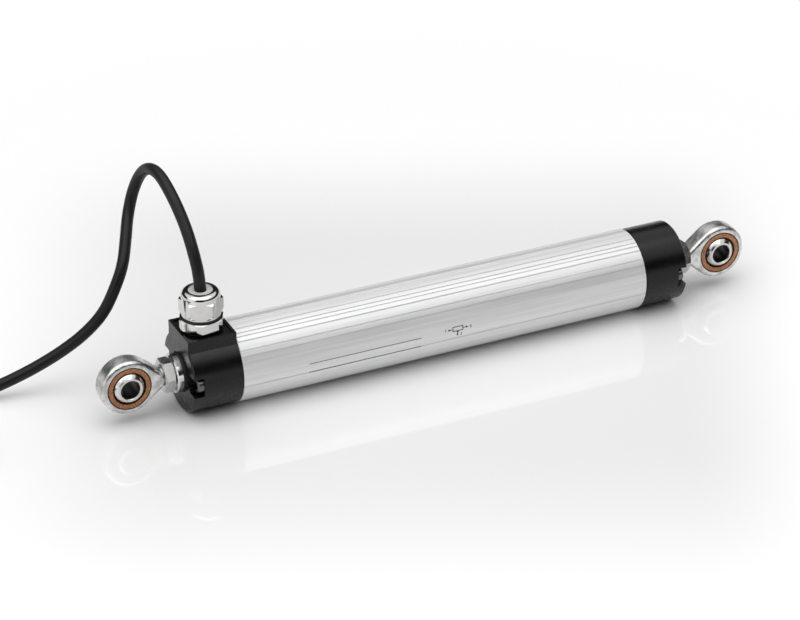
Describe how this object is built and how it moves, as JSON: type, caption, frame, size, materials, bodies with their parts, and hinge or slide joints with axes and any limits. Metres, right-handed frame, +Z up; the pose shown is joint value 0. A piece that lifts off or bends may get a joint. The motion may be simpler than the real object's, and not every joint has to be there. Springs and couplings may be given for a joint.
{
  "type": "linear potentiometer",
  "caption": "Rod-type linear position sensor: round extruded barrel, black end caps, push rod, spherical rod ends and a cable gland on the rear cap.",
  "frame": {"origin": "centre of the rear rod end's ball", "axes": "+X along the sensor from the rear rod end to the front rod end, +Y across it along the ball bores, +Z up through the cable gland"},
  "size_m": [0.4179, 0.1112, 0.0938],
  "materials": {
    "anodised_barrel": "satin clear-anodised extrusion",
    "cap_plastic": "black glass-filled moulding",
    "gasket_rubber": "matt black rubber",
    "screw_steel": "zinc-plated screws",
    "bush_steel": "turned steel",
    "forged_steel": "zinc-plated forging",
    "race_bronze": "turned bronze",
    "ball_steel": "polished bearing steel",
    "nut_steel": "zinc-plated steel",
    "nickel": "bright nickel-plated brass",
    "seal_rubber": "light grey rubber",
    "clamp_plastic": "pale nylon",
    "bearing_plastic": "dark plain-bearing plastic",
    "wiper_rubber": "black rubber",
    "buffer_rubber": "black rubber",
    "rod_steel": "ground stainless steel",
    "clip_steel": "spring steel",
    "carriage_plastic": "natural acetal",
    "glide_plastic": "low-friction pads",
    "wiper_metal": "precious-metal spring alloy",
    "board_laminate": "glass-fibre laminate",
    "track_film": "conductive plastic film",
    "terminal_metal": "tinned pins",
    "lead_brown": "brown core insulation",
    "lead_white": "white core insulation",
    "lead_blue": "blue core insulation",
    "cable_jacket": "black cable jacket",
    "ferrule_metal": "tinned copper ferrules"
  },
  "bodies": {
    "housing": {"housing_tube": "anodised_barrel", "rear_gasket": "gasket_rubber", "front_gasket": "gasket_rubber", "rear_cap": "cap_plastic", "front_cap": "cap_plastic", "rear_cap_screws": "screw_steel", "front_cap_screws": "screw_steel", "rear_bush": "bush_steel", "flange_seal": "gasket_rubber", "rear_jam_nut": "nut_steel", "rear_rod_end": "forged_steel", "rear_race": "race_bronze", "gland_washer": "gasket_rubber", "gland_ring": "gasket_rubber", "gland_body": "nickel", "gland_nut": "nickel", "gland_clamp": "clamp_plastic", "gland_seal": "seal_rubber", "rod_bush": "bearing_plastic", "rod_wiper": "wiper_rubber", "end_buffer": "buffer_rubber", "track_board": "board_laminate", "resistance_track": "track_film", "collector_track": "track_film", "terminals": "terminal_metal", "lead_low": "lead_brown", "lead_wiper": "lead_white", "lead_high": "lead_blue", "cable": "cable_jacket", "cable_coil": "cable_jacket", "cable_tail": "cable_jacket", "core_low": "lead_brown", "core_wiper": "lead_white", "core_high": "lead_blue", "core_ferrules": "ferrule_metal"},
    "carriage": {"carriage": "carriage_plastic", "carriage_glides": "glide_plastic", "track_wiper": "wiper_metal", "collector_wiper": "wiper_metal"},
    "rod": {"push_rod": "rod_steel", "rod_clip": "clip_steel", "front_jam_nut": "nut_steel", "front_rod_end": "forged_steel", "front_race": "race_bronze"},
    "front_ball": {"front_ball": "ball_steel"},
    "rear_ball": {"rear_ball": "ball_steel"}
  },
  "joints": [
    {"name": "stroke", "type": "slide", "parent": "housing", "child": "carriage", "axis": [1, 0, 0], "range_m": [0, 0.11]},
    {"name": "rod_turn", "type": "hinge", "parent": "carriage", "child": "rod", "pos_m": [0.104, 0, 0], "axis": [1, 0, 0], "continuous": true},
    {"name": "front_eye_turn", "type": "hinge", "parent": "rod", "child": "front_ball", "pos_m": [0.2754, 0, 0], "axis": [0, 1, 0], "continuous": true},
    {"name": "rear_eye_turn", "type": "hinge", "parent": "housing", "child": "rear_ball", "pos_m": [0, 0, 0], "axis": [0, 1, 0], "continuous": true}
  ]
}
